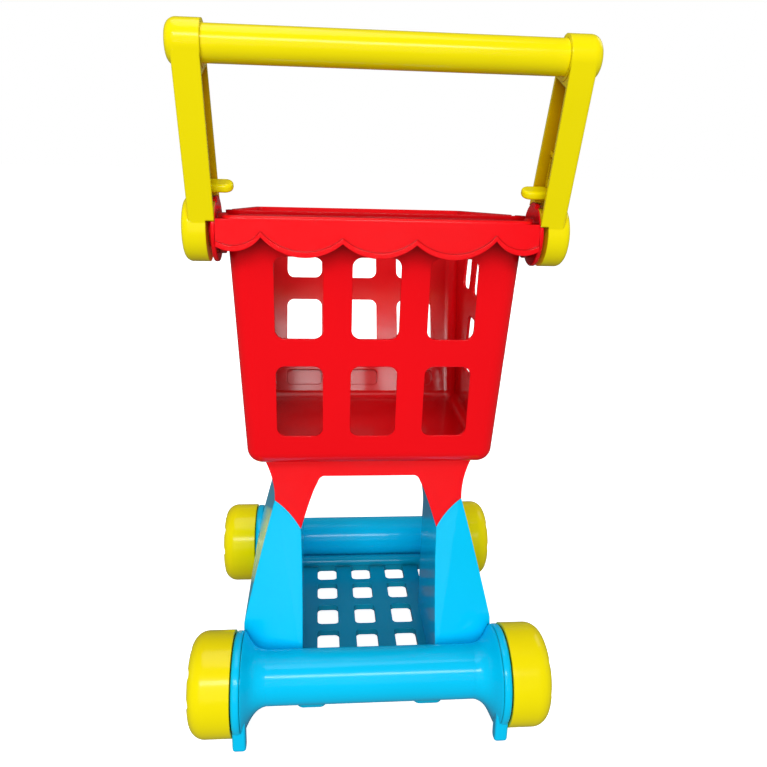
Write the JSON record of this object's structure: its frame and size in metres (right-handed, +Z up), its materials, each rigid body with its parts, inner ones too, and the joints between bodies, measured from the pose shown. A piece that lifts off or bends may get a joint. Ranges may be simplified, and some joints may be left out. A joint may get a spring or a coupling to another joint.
{
  "type": "toy shopping cart",
  "caption": "Child's plastic push cart with a windowed basket, folding bar handle, lower tray and rolling wheels.",
  "frame": {"origin": "on the floor, below the centre of the bounding box", "axes": "+X to the child's right, +Y the way the cart rolls forward, +Z up"},
  "size_m": [0.27, 0.324, 0.4964],
  "materials": {
    "red_plastic": "glossy injection moulding",
    "blue_plastic": "glossy injection moulding",
    "yellow_plastic": "glossy injection moulding",
    "steel": "zinc plated",
    "nylon": "natural nylon"
  },
  "bodies": {
    "cart": {"basket": "red_plastic", "basket_stand": "red_plastic", "left_upright": "blue_plastic", "right_upright": "blue_plastic", "tray": "blue_plastic", "rear_axle_housing": "blue_plastic", "front_axle_housing": "blue_plastic", "rear_axle": "steel", "front_axle": "steel", "axle_caps": "yellow_plastic", "axle_bushes": "nylon", "left_pivot_pin": "steel", "right_pivot_pin": "steel", "stand_screws": "steel", "upright_screws": "steel", "tray_screws": "steel"},
    "handle": {"handle_bar": "yellow_plastic", "left_handle_arm": "yellow_plastic", "right_handle_arm": "yellow_plastic", "handle_screws": "steel", "left_latch_spring": "steel", "right_latch_spring": "steel"},
    "left_latch": {"left_latch_slider": "yellow_plastic"},
    "right_latch": {"right_latch_slider": "yellow_plastic"},
    "rear_left_wheel": {"rear_left_wheel": "yellow_plastic"},
    "rear_right_wheel": {"rear_right_wheel": "yellow_plastic"},
    "front_left_wheel": {"front_left_wheel": "yellow_plastic"},
    "front_right_wheel": {"front_right_wheel": "yellow_plastic"}
  },
  "joints": [
    {"name": "handle_fold", "type": "hinge", "parent": "cart", "child": "handle", "pos_m": [0, -0.0994, 0.376], "axis": [-1, 0, 0], "range_deg": [0, 102]},
    {"name": "left_latch_slide", "type": "slide", "parent": "handle", "child": "left_latch", "axis": [0, -0.3697, 0.9291], "range_m": [0, 0.005], "stiffness_N_per_m": 200, "springref_m": -0.001, "deforming": ["left_latch_spring"]},
    {"name": "right_latch_slide", "type": "slide", "parent": "handle", "child": "right_latch", "axis": [0, -0.3697, 0.9291], "range_m": [0, 0.005], "stiffness_N_per_m": 200, "springref_m": -0.001, "deforming": ["right_latch_spring"]},
    {"name": "rear_left_wheel_spin", "type": "hinge", "parent": "cart", "child": "rear_left_wheel", "pos_m": [0, -0.1234, 0.0386], "axis": [-1, 0, 0], "continuous": true},
    {"name": "rear_right_wheel_spin", "type": "hinge", "parent": "cart", "child": "rear_right_wheel", "pos_m": [0, -0.1234, 0.0386], "axis": [-1, 0, 0], "continuous": true},
    {"name": "front_left_wheel_spin", "type": "hinge", "parent": "cart", "child": "front_left_wheel", "pos_m": [0, 0.098, 0.0386], "axis": [-1, 0, 0], "continuous": true},
    {"name": "front_right_wheel_spin", "type": "hinge", "parent": "cart", "child": "front_right_wheel", "pos_m": [0, 0.098, 0.0386], "axis": [-1, 0, 0], "continuous": true}
  ]
}
